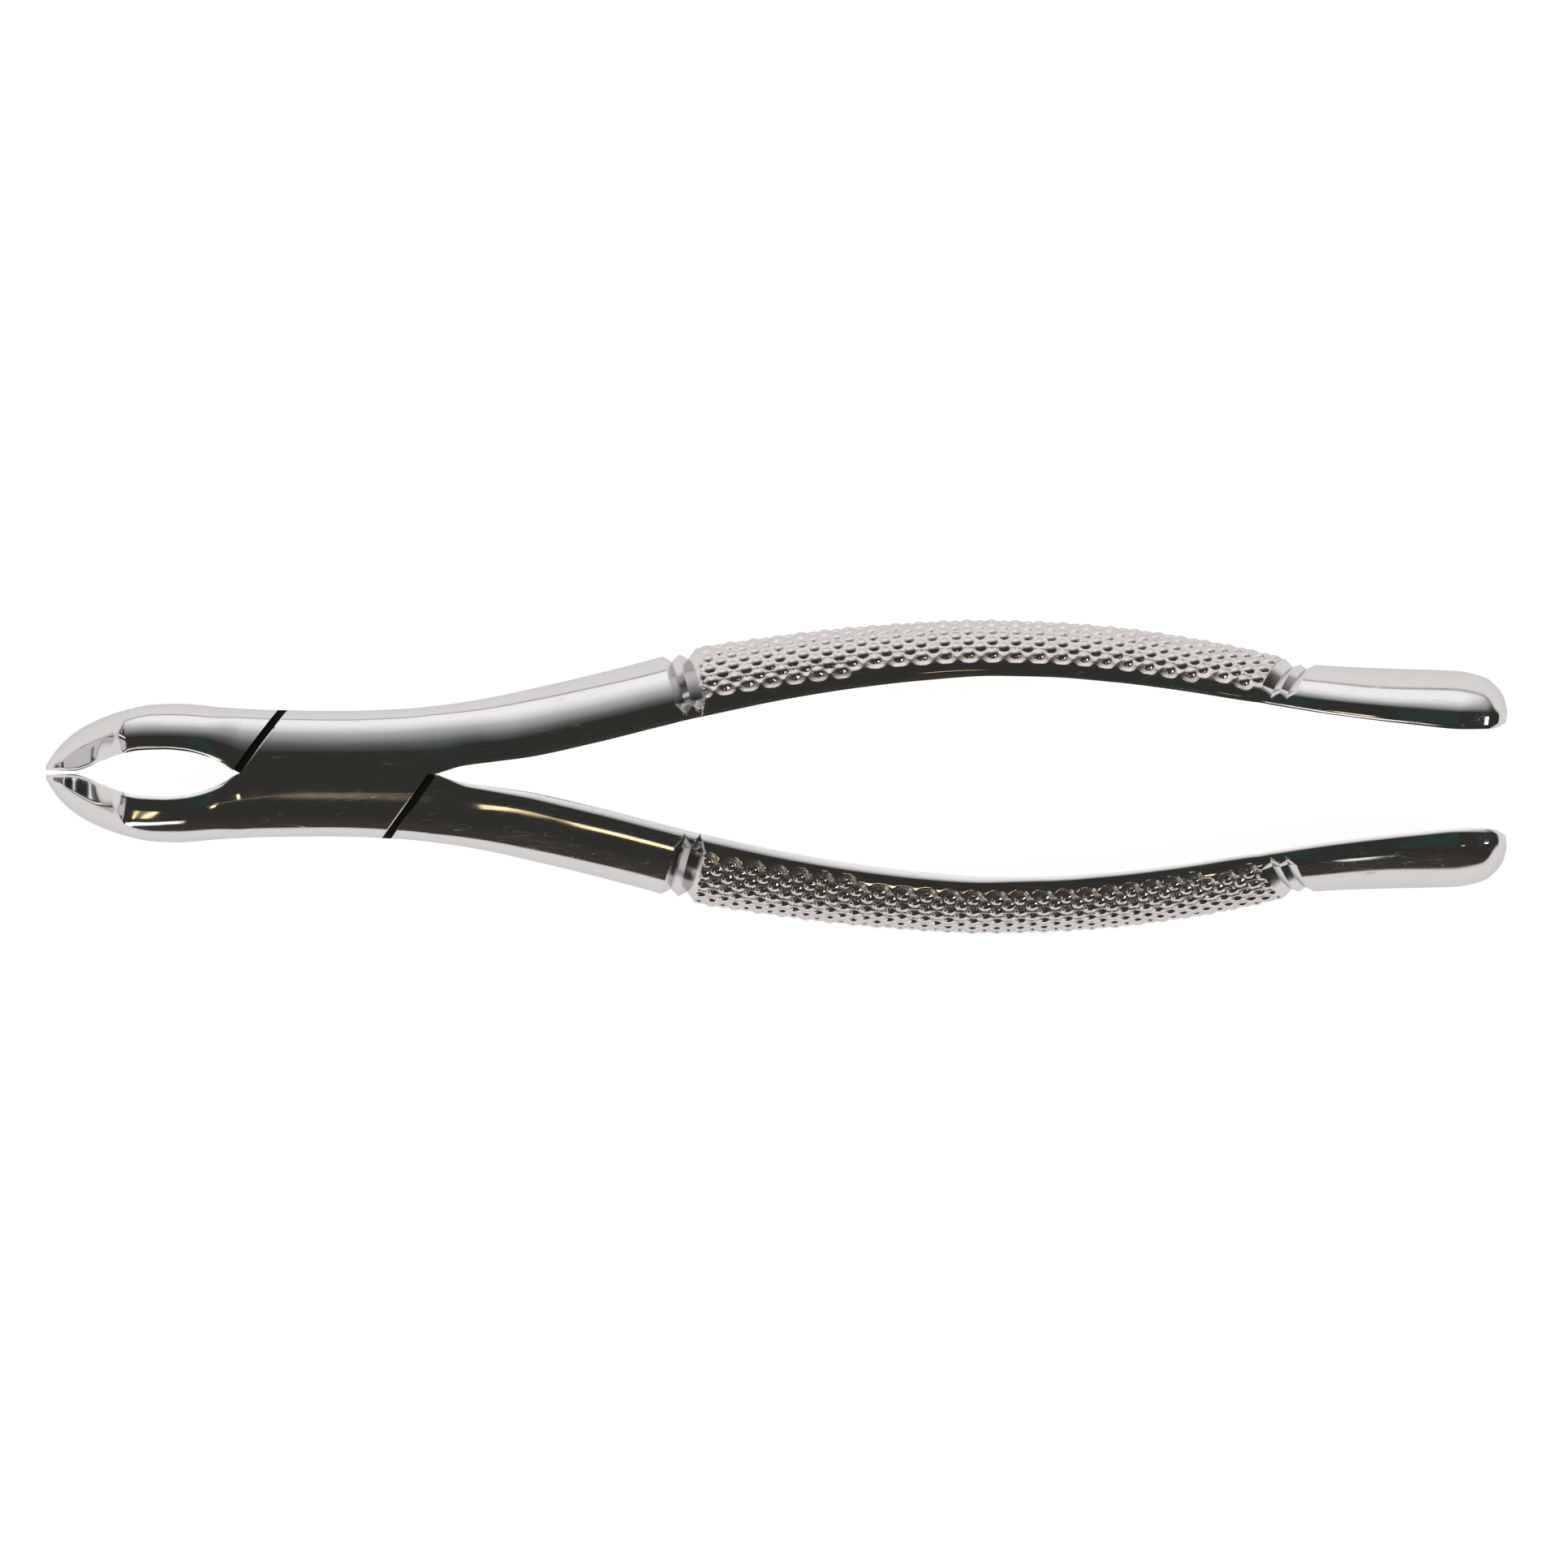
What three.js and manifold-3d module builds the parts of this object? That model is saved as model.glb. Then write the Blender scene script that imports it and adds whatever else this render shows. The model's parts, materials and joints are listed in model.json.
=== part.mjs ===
// Extraction forceps: two forged halves crossing in a lap joint, held by one pivot screw.
//
// Millimetres. x runs along the instrument, from the beaks (-x) to the handle ends (+x), y is across
// it and z is up. Inside this file x is measured from the pivot; the exported group moves the pivot
// so that the part's origin is the middle of the footprint, on the surface that the part lies on.

import * as THREE from 'three';
import { mergeVertices } from 'three/addons/utils/BufferGeometryUtils.js';
import Module from 'manifold-3d';

const wasm = await Module();
wasm.setup();

// ---- driving dimensions -------------------------------------------------------------------------

const tipX = -35.6;             // beak tips
const endX = 142.3;             // handle ends
const jointZ = 10.6;            // height of the lap plane above the surface
const landHalf = 4.75;          // the joint's flat lands lie this far above and below the lap plane
const lapGap = 0.1;             // between the two plates of the lap joint
const overlap = 0.05;           // how far each side of the blank runs past the midline in the joint

const slotAngle = THREE.MathUtils.degToRad(36);   // lean of the slots that end each plate
const plateReach = 9.25;        // from the pivot to a plate's edge
const pocketReach = 10.1;       // from the pivot to the shoulder that faces the edge

const headRadius = 3.4;
const headHeight = 1.5;
const headRecess = 0.15;        // the head lies this far inside the underside land
const shankRadius = 2.4;
const threadRadius = 2.1;
const threadReach = 2.7;        // how far the thread stands into the front half
const fitGap = 0.3;
const slotWidth = 0.9;
const slotDepth = 0.8;

// ---- profiles along the instrument, as [x, value] -----------------------------------------------

const outerEdge = smooth([
  [tipX, 0.9], [-35, 1.85], [-33.9, 3.3], [-32.1, 4.85], [-29.7, 6.2], [-26, 7.55], [-22, 8.35],
  [-19, 8.45], [-14, 8.05], [-8, 7.75], [0, 7.65], [7.6, 7.9], [13.5, 8.5], [19.4, 9.45],
  [27.3, 11.25], [39.2, 14.3], [44.5, 15.8], [51, 16.8], [58.9, 17.85], [66.8, 18.6], [78.7, 19.2],
  [86.6, 19], [94.5, 18.45], [102.4, 17.4], [110.3, 15.95], [114.2, 15], [116.2, 14.35],
  [119.5, 13.8], [128, 13.4], [136, 13.15], [139.3, 12.4], [141, 11.1], [141.8, 10], [endX, 8.6],
]);

// Above zero where the halves stand apart, and zero where they meet.
const innerEdge = smooth([
  [tipX, 0.4], [-34, 0.35], [-32.1, 0.2], [-30.9, 0.45], [-28.5, 1.45], [-26, 2.3], [-23.5, 2.75],
  [-20.5, 2.85], [-18, 2.65], [-16, 2.2], [-14, 1.45], [-12.1, 0.3], [-11.4, 0],
  [12, 0], [13.5, 0.4], [15.5, 1], [19.4, 1.55], [23.4, 2.1], [31.3, 3.8], [39.2, 5.8],
  [47.1, 7.7], [55, 9.35], [62.9, 10.65], [70.8, 11.6], [80, 12.25], [86.6, 12.15], [94.5, 11.6],
  [102.4, 10.75], [118, 8.5], [124, 7.55], [132, 6.5], [138, 5.95], [141, 6.05], [endX, 6.8],
]);

// Height of the middle of the section. The beaks run level and then bend down steeply to the
// surface; the handles sag to it at the grips and rise again to their ends.
const middleHeight = smooth([
  [tipX, 2.1], [-34.3, 2.55], [-33, 3.5], [-31, 5.15], [-29, 6.8], [-27, 8.45], [-25.4, 9.65],
  [-24, 9.9], [-20, 10.3], [-17, 10.47], [-14, 10.56], [-10, jointZ], [14, jointZ], [27, 9.7],
  [45, 7.75], [60, 6.4], [75, 5.9], [95, 6.5], [115, 8.3], [130, 10.4], [endX, 12],
]);

const thickness = smooth([
  [tipX, 2.2], [-35, 3.9], [-34.3, 4.9], [-33, 5.6], [-30, 6.1], [-26, 7], [-23, 7.8], [-20, 8.5],
  [-17, 9.1], [-14, 9.5], [-10, 9.8], [14, 9.8], [27, 10.4], [45, 11.6], [60, 11.8], [90, 11.8],
  [108, 11.4], [116, 10.2], [121, 10], [132, 11.4], [137, 11.3], [140, 9.8], [141.4, 7.6],
  [endX, 4.6],
]);

// Lean of the sections in degrees: the collar behind the grip is cut with its top towards the beaks.
const sectionLean = smooth([
  [tipX, 0], [85, 0], [105, 14], [114, 24], [119, 24], [130, 10], [endX, 0],
]);

// Share of the width that lies between the inner edge and the crest of the section.
const crestShare = smooth([
  [tipX, 0.3], [-34, 0.32], [-32, 0.46], [-29.3, 0.5], [-27, 0.42], [-25, 0.25], [-22, 0.2],
  [-16, 0.2], [-11, 0], [12, 0], [18, 0.14], [30, 0.22], [100, 0.26], [endX, 0.3],
]);

// Slope of the ground face along the inside of a beak's tip, down from the crest to the inner edge.
const groundSlope = smooth([
  [tipX, 0.3], [-34, 0.42], [-30, 0.42], [-27.5, 0.25], [-25, 0], [endX, 0],
]);

// Depth of the collar grooves at each end of the grip: straight-sided V grooves.
const frontCollar = [[40.85, 0], [41.7, 0.97], [42.75, 0.34], [43.57, 1.2], [44.75, 0]];
const rearCollar = [[114.6, 0], [116.1, 0.8], [116.95, 0.3], [117.85, 0.7], [118.9, 0]];
const collarDepth = straight([...frontCollar, ...rearCollar]);

// A curve through the points that never overshoots them.
function smooth(points) {
  const rise = (i) => (points[i + 1][1] - points[i][1]) / (points[i + 1][0] - points[i][0]);
  const last = points.length - 1;
  const slopes = points.map((point, i) => {
    if (i === 0) return rise(0);
    if (i === last) return rise(last - 1);
    const before = rise(i - 1);
    const after = rise(i);
    return before * after <= 0 ? 0 : (2 * before * after) / (before + after);
  });
  return (x) => {
    const i = pieceAt(points, x);
    const width = points[i + 1][0] - points[i][0];
    const t = (x - points[i][0]) / width;
    return points[i][1] * (1 + 2 * t) * (1 - t) ** 2
      + slopes[i] * width * t * (1 - t) ** 2
      + points[i + 1][1] * t * t * (3 - 2 * t)
      + slopes[i + 1] * width * t * t * (t - 1);
  };
}

function straight(points) {
  return (x) => {
    if (x <= points[0][0] || x >= points.at(-1)[0]) return 0;
    const i = pieceAt(points, x);
    const t = (x - points[i][0]) / (points[i + 1][0] - points[i][0]);
    return points[i][1] + t * (points[i + 1][1] - points[i][1]);
  };
}

function pieceAt(points, x) {
  const next = points.findIndex((point) => point[0] > x);
  return next < 0 ? points.length - 2 : Math.max(next - 1, 0);
}

// ---- one side of the blank: beak, half of the joint and handle on one side of the midline --------

const pointsAround = 24;
const outerExponent = 2.1;
const innerExponent = 5;

function stations() {
  const xs = [tipX, -35.3, -34.8, -34.2, -33.3, -32.1, -31];
  addRange(xs, -29.7, -13, 1.5);
  xs.push(-12.1, -11.4, -8, -3, 3, 8, 12);
  addRange(xs, 13.5, 39, 2.5);
  frontCollar.forEach(([x]) => xs.push(x));
  addRange(xs, 47.5, 112.5, 3.4);
  rearCollar.forEach(([x]) => xs.push(x));
  addRange(xs, 121, 136, 3);
  xs.push(137.5, 139, 140.2, 141.1, 141.8, endX);
  return xs;
}

function addRange(list, from, to, step) {
  for (let x = from; x <= to; x += step) list.push(x);
}

// Direction of the handle, seen from above; the beaks and the joint are cut straight across.
function turn(x) {
  const step = 0.5;
  const middle = (at) => (outerEdge(at) + innerEdge(at)) / 2;
  const slope = (middle(Math.min(x + step, 138)) - middle(Math.min(x, 138) - step)) / (2 * step);
  return Math.atan(slope) * THREE.MathUtils.smoothstep(x, 13, 30);
}

function power(value, exponent) {
  return Math.sign(value) * Math.abs(value) ** exponent;
}

// The section is a D: full and round on the outside, steep on the inside.
function section(x) {
  const outer = outerEdge(x);
  const inner = innerEdge(x);
  const wall = inner > 0 ? inner : -overlap;
  const crest = Math.max(inner + crestShare(x) * (outer - inner), 0);
  const middle = (outer + inner) / 2;
  const half = thickness(x) / 2;
  const land = landHalf + 0.03 * Math.max(Math.abs(x) - 12, 0);
  const angle = turn(x);
  const lean = THREE.MathUtils.degToRad(sectionLean(x));
  const ring = [];
  for (let i = 0; i < pointsAround; i++) {
    const around = ((i + 0.5) / pointsAround) * 2 * Math.PI;
    const outside = Math.cos(around) > 0;
    const exponent = 2 / (outside ? outerExponent : innerExponent);
    const reach = outside ? outer - crest : crest - wall;
    const across = crest + reach * power(Math.cos(around), exponent);
    const up = half * power(Math.sin(around), exponent);
    const groove = 1 - collarDepth(x) * (1 + Math.cos(around)) / 2 / (outer - crest);
    const sideways = (crest + (across - crest) * groove - middle) * Math.cos(angle);
    const ground = 1 - (groundSlope(x) * Math.max(crest - across, 0)) / half;
    const raised = THREE.MathUtils.clamp(up * groove * ground, -land, land);
    ring.push([
      x - sideways * Math.sin(angle) - raised * Math.sin(lean),
      middle + sideways * Math.cos(angle),
      middleHeight(x) + raised * Math.cos(lean),
    ]);
  }
  return ring;
}

// side is 1 for +y and -1 for its mirror image.
function sideOfBlank(side) {
  const rings = stations().map(section);
  const vertices = rings.flat().map(([x, y, z]) => [x, y * side, z]);
  const triangles = [];
  const corner = (row, i) => row * pointsAround + (i % pointsAround);
  const add = (a, b, c) => triangles.push(side > 0 ? [a, b, c] : [a, c, b]);
  for (let row = 0; row < rings.length - 1; row++) {
    for (let i = 0; i < pointsAround; i++) {
      add(corner(row, i), corner(row, i + 1), corner(row + 1, i));
      add(corner(row, i + 1), corner(row + 1, i + 1), corner(row + 1, i));
    }
  }
  const lastRow = rings.length - 1;
  for (let i = 1; i < pointsAround - 1; i++) {
    add(corner(0, 0), corner(0, i + 1), corner(0, i));
    add(corner(lastRow, 0), corner(lastRow, i), corner(lastRow, i + 1));
  }
  const geometry = new THREE.BufferGeometry();
  geometry.setAttribute('position', new THREE.Float32BufferAttribute(vertices.flat(), 3));
  geometry.setIndex(triangles.flat());
  return solid(geometry).subtract(beakHollow(side));
}

// The hollow-ground inner face of a beak, which takes the crown of the tooth.
function beakHollow(side) {
  const hollow = new THREE.SphereGeometry(1, 32, 16);
  hollow.scale(5, 1.6, 1.7);
  hollow.rotateY(THREE.MathUtils.degToRad(-40));
  hollow.translate(-29.6, side * 0.25, middleHeight(-29.6) - 0.7);
  return solid(hollow);
}

// ---- solids and the lap joint --------------------------------------------------------------------

function solid(geometry) {
  geometry.deleteAttribute('normal');
  geometry.deleteAttribute('uv');
  const merged = mergeVertices(geometry, 1e-5);
  return new wasm.Manifold(new wasm.Mesh({
    numProp: 3,
    vertProperties: new Float32Array(merged.attributes.position.array),
    triVerts: new Uint32Array(merged.index.array),
  }));
}

// A block that holds everything beyond a slanted plane: x cos(lean) - y sin(lean) > reach when
// toHandles is true, and < reach otherwise, between two heights above the lap plane.
function beyond(lean, reach, toHandles, low, high) {
  const size = 400;
  const block = new THREE.BoxGeometry(size, size, high - low);
  block.translate(reach + (toHandles ? size / 2 : -size / 2), 0, jointZ + (low + high) / 2);
  block.rotateZ(-lean);
  return solid(block);
}

const far = 40;
const top = (lean, reach, toHandles) => beyond(lean, reach, toHandles, lapGap / 2, far);
const bottom = (lean, reach, toHandles) => beyond(lean, reach, toHandles, -far, -lapGap / 2);
const whole = (lean, reach, toHandles) => beyond(lean, reach, toHandles, -far, far);

// upper is the side of the blank at +y and lower is its mirror image. Each half of the forceps is a
// beak from one side, a plate across the joint and the handle from the other side.
function lapHalf(beakSide, handleSide, plateLayer, lean) {
  const plateOverBeak = beakSide.intersect(plateLayer(lean, plateReach, false));
  const beak = beakSide.intersect(whole(-lean, -pocketReach, false));
  const plateOverHandle = handleSide.intersect(plateLayer(lean, -plateReach, true));
  const handle = handleSide.intersect(whole(-lean, pocketReach, true));
  return plateOverBeak.add(beak).add(plateOverHandle).add(handle);
}

function cylinder(radius, low, high) {
  const geometry = new THREE.CylinderGeometry(radius, radius, high - low, 32);
  geometry.rotateX(Math.PI / 2);
  geometry.translate(0, 0, jointZ + (low + high) / 2);
  return solid(geometry);
}

const headTop = -landHalf + headRecess + headHeight;

function pivotScrew() {
  const profile = [
    [0, -landHalf + headRecess],
    [headRadius - 0.25, -landHalf + headRecess],
    [headRadius, -landHalf + headRecess + 0.25],
    [headRadius, headTop],
    [shankRadius, headTop],
    [shankRadius, -fitGap],
    [threadRadius, -fitGap],
    [threadRadius, threadReach - 0.4],
    [threadRadius - 0.4, threadReach],
    [0, threadReach],
  ];
  const body = new THREE.LatheGeometry(profile.map(([r, z]) => new THREE.Vector2(r, z)), 32);
  body.rotateX(Math.PI / 2);
  body.translate(0, 0, jointZ);
  const slot = new THREE.BoxGeometry(3 * headRadius, slotWidth, 2 * slotDepth);
  slot.rotateZ(slotAngle);
  slot.translate(0, 0, jointZ - landHalf + headRecess);
  return solid(body).subtract(solid(slot));
}

const upper = sideOfBlank(1);
const lower = sideOfBlank(-1);

function frontHalf() {
  const blindHole = cylinder(threadRadius + fitGap, -far, threadReach + fitGap);
  return lapHalf(lower, upper, top, slotAngle).subtract(blindHole);
}

function backHalf() {
  const bore = cylinder(shankRadius + fitGap, -far, far);
  const counterbore = cylinder(headRadius + fitGap, -far, headTop + fitGap);
  return lapHalf(upper, lower, bottom, -slotAngle).subtract(bore).subtract(counterbore);
}

// ---- the assembly --------------------------------------------------------------------------------

function mesh(name, body, material) {
  const { vertProperties, triVerts } = body.getMesh();
  const geometry = new THREE.BufferGeometry();
  geometry.setAttribute('position', new THREE.BufferAttribute(vertProperties, 3));
  geometry.setIndex(new THREE.BufferAttribute(triVerts, 1));
  const part = new THREE.Mesh(geometry, material);
  part.name = name;
  return part;
}

const steel = (color, roughness) =>
  new THREE.MeshStandardMaterial({ color, roughness, metalness: 1 });

const forceps = new THREE.Group();
forceps.name = 'extraction_forceps';
forceps.position.x = -(tipX + endX) / 2;
forceps.add(mesh('front_half', frontHalf(), steel(0xc9c6c4, 0.12)));
forceps.add(mesh('back_half', backHalf(), steel(0xc9c6c4, 0.12)));
forceps.add(mesh('pivot_screw', pivotScrew(), steel(0xb9b7b6, 0.25)));

export default forceps;
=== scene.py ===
"""Looks of the extraction forceps: two polished steel halves with beaded grips, and their screw.

Lengths are in millimetres measured from the pivot, with x along the instrument, and become metres
in the frame when a mesh is made. Each half is shaped as one tube whose section runs from the beak
on one side of the midline, over the joint, to the handle on the other side, and is then cut at the
lap joint. In a half's own coordinates the beak lies at -v and the handle at +v.
"""

import json
import math

import bpy
import bmesh
import numpy as np
from mathutils import Matrix, Vector


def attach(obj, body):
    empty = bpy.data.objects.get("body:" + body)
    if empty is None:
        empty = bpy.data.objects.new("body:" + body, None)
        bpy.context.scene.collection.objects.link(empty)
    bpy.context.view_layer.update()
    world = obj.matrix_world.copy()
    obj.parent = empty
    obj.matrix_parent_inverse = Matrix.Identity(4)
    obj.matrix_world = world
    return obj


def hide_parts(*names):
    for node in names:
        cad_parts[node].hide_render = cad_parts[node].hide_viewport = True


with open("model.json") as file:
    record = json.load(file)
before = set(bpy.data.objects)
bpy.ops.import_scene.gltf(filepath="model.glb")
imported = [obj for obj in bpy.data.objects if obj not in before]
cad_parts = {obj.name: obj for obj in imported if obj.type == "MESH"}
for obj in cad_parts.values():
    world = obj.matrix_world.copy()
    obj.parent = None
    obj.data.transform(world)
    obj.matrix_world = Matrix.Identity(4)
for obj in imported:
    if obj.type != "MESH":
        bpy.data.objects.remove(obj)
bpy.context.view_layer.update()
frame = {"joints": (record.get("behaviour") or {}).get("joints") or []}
PIVOT = Vector(frame["joints"][0]["pos_m"])
MM = 0.001

# ---- driving dimensions --------------------------------------------------------------------------

TIP_X = -35.6
END_X = 142.3
JOINT_Z = PIVOT.z / MM          # height of the lap plane
LAND = 4.75                     # lap plane to the joint's outer surfaces
LAP_GAP = 0.1                   # between the two plates
SLOT_LEAN = math.radians(36)
PLATE_REACH = 9.25              # pivot to a plate's edge
POCKET_REACH = 10.1             # pivot to the shoulder that faces the edge
EDGE_BREAK = 0.13               # size of the chamfers along the slots of the joint
STEP_X = 11.46                  # where the tube's section steps between one side and both

HEAD_RADIUS = 3.4
HEAD_HEIGHT = 1.5
HEAD_SINK = 0.15                # screw head to the joint's under side
HEAD_GAP = 0.2                  # screw head to the wall of its seat
SEAT = -2.8                     # floor of the seat; heights of the holes count from the lap plane
SHANK_RADIUS = 2.4
THREAD_RADIUS = 2.1
THREAD_START = -0.3
THREAD_TOP = 2.7
HOLE_TOP = 3
SCREW_GAP = 0.3                 # shank to its bore, and thread to its hole
SCREW_STEPS = 96                # round the screw and its holes
PAST = 20                       # cutters end this far past the lap plane

CUP_X = -29.6                   # middle of the cup inside each beak
CUP_OFFSET = 0.25               # from the midline towards the beak
CUP_SINK = 0.7                  # below the middle of the beak's section
CUP_RADII = (5, 1.6, 1.7)
CUP_TILT = math.radians(-40)

PITCH = 2.86                    # knurl: spacing of the beads along a row
ROW = 0.9                       # spacing of the rows round the grip
ROW_MARGIN = 1.05               # round the grip from the last row to the crest of the section
BEAD = (0.73, 0.68)             # half length and half width of a bead
RECESS = (1.25, 1.25)           # how far the sunk floor reaches round a bead
KNURL_DEPTH = 0.26
FRONT_PHASE = 1.07              # where the first beads lie on the front half's grip
BACK_PHASE = 1.77
BEAD_RIM = 1 / math.sin(math.radians(39))   # radius of a bead's sphere over its rim's

NO_ROW = 99.0                   # an arc past every row of beads
GROOVE_FADE = 2.3               # the collar grooves narrow to points over this width


# ---- profiles along the instrument ---------------------------------------------------------------

def smooth(*points):
    """A curve through the points that never overshoots them, as a function of x."""
    xs = np.array([p[0] for p in points], float)
    ys = np.array([p[1] for p in points], float)
    rise = np.diff(ys) / np.diff(xs)
    slopes = np.empty(len(xs))
    slopes[0] = rise[0]
    slopes[-1] = rise[-1]
    before, after = rise[:-1], rise[1:]
    same = before * after > 0
    total = np.where(same, before + after, 1)
    slopes[1:-1] = np.where(same, 2 * before * after / total, 0)

    def at(x):
        i = np.clip(np.searchsorted(xs, x, side="right") - 1, 0, len(xs) - 2)
        width = xs[i + 1] - xs[i]
        t = (x - xs[i]) / width
        return (
            ys[i] * (1 + 2 * t) * (1 - t) ** 2
            + slopes[i] * width * t * (1 - t) ** 2
            + ys[i + 1] * t * t * (3 - 2 * t)
            + slopes[i + 1] * width * t * t * (t - 1)
        )

    return at


outer_edge = smooth(
    (TIP_X, 0.9), (-35.3, 1.4), (-35, 1.9), (-33.9, 3.3), (-32.1, 4.85), (-29.7, 6.2),
    (-26, 7.55), (-22, 8.35), (-19, 8.45), (-14, 8.05), (-8, 7.75), (0, 7.65), (7.6, 7.9),
    (13.5, 8.5), (19.4, 9.45), (27.3, 11.25), (39.2, 14.3), (44.5, 15.8), (51, 16.8),
    (58.9, 17.85), (66.8, 18.6), (78.7, 19.2), (86.6, 19), (94.5, 18.45), (102.4, 17.4),
    (110.3, 15.95), (114.2, 15), (116.2, 14.35), (119.5, 13.8), (128, 13.4), (136, 13.15),
    (139.3, 12.4), (141, 11.1), (141.8, 10), (END_X, 8.6),
)

inner_edge = smooth(
    (TIP_X, 0.3), (-34, 0.25), (-32.1, 0.2), (-30.9, 0.45), (-28.5, 1.45), (-26, 2.3),
    (-23.5, 2.75), (-20.5, 2.85), (-18, 2.65), (-16, 2.2), (-14, 1.45), (-12.1, 0.3),
    (-11.4, 0), (12, 0), (13.5, 0.4), (15.5, 1), (19.4, 1.55), (23.4, 2.1), (31.3, 3.8),
    (39.2, 5.8), (47.1, 7.7), (55, 9.35), (62.9, 10.65), (70.8, 11.6), (80, 12.25),
    (86.6, 12.15), (94.5, 11.6), (102.4, 10.75), (118, 8.5), (124, 7.55), (132, 6.5),
    (138, 5.95), (141, 6.05), (END_X, 6.8),
)

middle_height = smooth(
    (TIP_X, 2.1), (-34.3, 2.55), (-33, 3.5), (-31, 5.15), (-29, 6.8), (-27, 8.45), (-25.4, 9.65),
    (-24, 9.9), (-20, 10.3), (-17, 10.47), (-14, 10.56), (-10, JOINT_Z), (14, JOINT_Z),
    (27, 9.7), (45, 7.75), (60, 6.4), (75, 5.9), (95, 6.5), (115, 8.3), (130, 10.4), (END_X, 12),
)

thickness = smooth(
    (TIP_X, 2.0), (-35.3, 3.2), (-35, 3.9), (-34.3, 4.9), (-33, 5.6), (-30, 6.1), (-26, 7),
    (-23, 7.8), (-20, 8.5), (-17, 9.05), (-14, 9.4), (-10, 2 * LAND), (14, 2 * LAND),
    (27, 10.3), (45, 11.6), (60, 11.8), (90, 11.8), (108, 11.4), (116, 10.2), (121, 10),
    (132, 11.4), (137, 11.3), (140, 9.8), (141.4, 7.6), (END_X, 4.6),
)

# Share of the width between the inner edge and the crest of the section.
crest_share = smooth(
    (TIP_X, 0.3), (-34, 0.32), (-32, 0.46), (-29.3, 0.5), (-27, 0.42), (-25, 0.25), (-22, 0.2),
    (-16, 0.2), (-11.4, 0), (12, 0), (18, 0.12), (30, 0.2),
    (100, 0.2), (118, 0.26), (136, 0.28), (END_X, 0.3),
)

# Superellipse exponent of the rounded outer side: 2 is an ellipse, less is more pointed.
roundness = smooth((TIP_X, 1.9), (-20, 1.8), (-12, 2.1), (12, 2.1), (22, 1.75), (104, 1.75),
                   (118, 1.5), (END_X, 1.45))

# The bevel that breaks the flat inner side's edges: its width and how far it drops.
bevel_width = smooth((TIP_X, 0.3), (-30, 0.45), (-12, 0.45), (12, 0.4), (28, 0.95), (70, 0.95),
                     (86, 0.6), (END_X, 0.5))
bevel_drop = smooth((TIP_X, 0.15), (-30, 0.2), (-24, 0.29), (-12, 0.29), (12, 0.25), (28, 0.65),
                    (70, 0.6), (86, 0.33), (END_X, 0.28))
BEVEL_ROUNDING = 1.4            # 1 is a flat bevel, more is rounder

# Slope of the ground face along the inside of a beak's tip, down from the crest to the inner edge.
ground_slope = smooth((TIP_X, 0.3), (-34, 0.42), (-30, 0.42), (-27.5, 0.25), (-25, 0), (END_X, 0))

# Lean of the sections, in degrees: the rear collar is cut with its top towards the beaks.
section_lean = smooth((TIP_X, 0), (85, 0), (105, 14), (114, 24), (119, 24), (130, 10), (END_X, 0))

FRONT_COLLAR = ((40.85, 0), (41.7, 0.97), (42.75, 0.34), (43.57, 1.2), (44.75, 0))
REAR_COLLAR = ((114.6, 0), (116.1, 0.8), (116.95, 0.3), (117.85, 0.7), (118.9, 0))
COLLARS = (FRONT_COLLAR, REAR_COLLAR)
GRIP = (FRONT_COLLAR[-1][0], REAR_COLLAR[0][0])


def collar_depth(x):
    """Depth of the collars' grooves."""
    depth = np.zeros_like(x)
    for collar in COLLARS:
        depth += np.interp(x, [p[0] for p in collar], [p[1] for p in collar], 0, 0)
    return depth


# ---- the tube of one half ------------------------------------------------------------------------

HANDLE_POINTS = 132             # round the side that carries the knurl on the handle
BEAK_POINTS = 48                # round the side that is the outside of the beak
FINE = 401                      # samples used to space the points evenly
FINE_STEP = 0.14                # between sections along the knurl and the beaks' tips
TURN_START = 13                 # behind here the sections turn square to the handle's middle line,
TURN_FULL = 30                  # fully from here on,
TURN_HELD = 138                 # and keep their direction from here to the end


def stations():
    """Where the sections stand: close together at the ends, the collars and the knurl."""
    nose = TIP_X + 3.2 * np.linspace(0, 1, 18) ** 2
    runs = [nose, np.arange(-32.3, -24, FINE_STEP), np.arange(-24, -STEP_X - 0.2, 0.25)]
    runs += [[-STEP_X - 0.1, -STEP_X, -STEP_X + 0.01], np.arange(-11, 11.2, 0.8)]
    runs += [[STEP_X - 0.01, STEP_X, STEP_X + 0.1], np.arange(11.8, GRIP[0] - 5, 0.4)]
    for (start, _), (end, _) in zip(FRONT_COLLAR[:-1], FRONT_COLLAR[1:]):
        runs.append(np.linspace(start, end, 9)[:-1])
    runs.append(np.arange(GRIP[0], GRIP[1] - FINE_STEP / 2, FINE_STEP))
    for (start, _), (end, _) in zip(REAR_COLLAR[:-1], REAR_COLLAR[1:]):
        runs.append(np.linspace(start, end, 9)[:-1])
    runs.append(np.arange(REAR_COLLAR[-1][0], 137, 0.4))
    runs.append(END_X - 5.2 * np.linspace(1, 0, 24) ** 2)
    return np.unique(np.concatenate([np.asarray(run, float) for run in runs]))


def outer_side(reach, half, power, count):
    """Evenly spaced points over the rounded side, from the crest to the foot, and their arcs."""
    t = np.linspace(math.pi / 2, -math.pi / 2, FINE)
    across = reach * np.abs(np.cos(t)) ** (2 / power)
    up = half * np.sign(np.sin(t)) * np.abs(np.sin(t)) ** (2 / power)
    along = np.concatenate([[0], np.cumsum(np.hypot(np.diff(across), np.diff(up)))])
    at = np.linspace(0, along[-1], count + 1)
    return np.interp(at, along, across), np.interp(at, along, up), at - along[FINE // 2]


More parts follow.
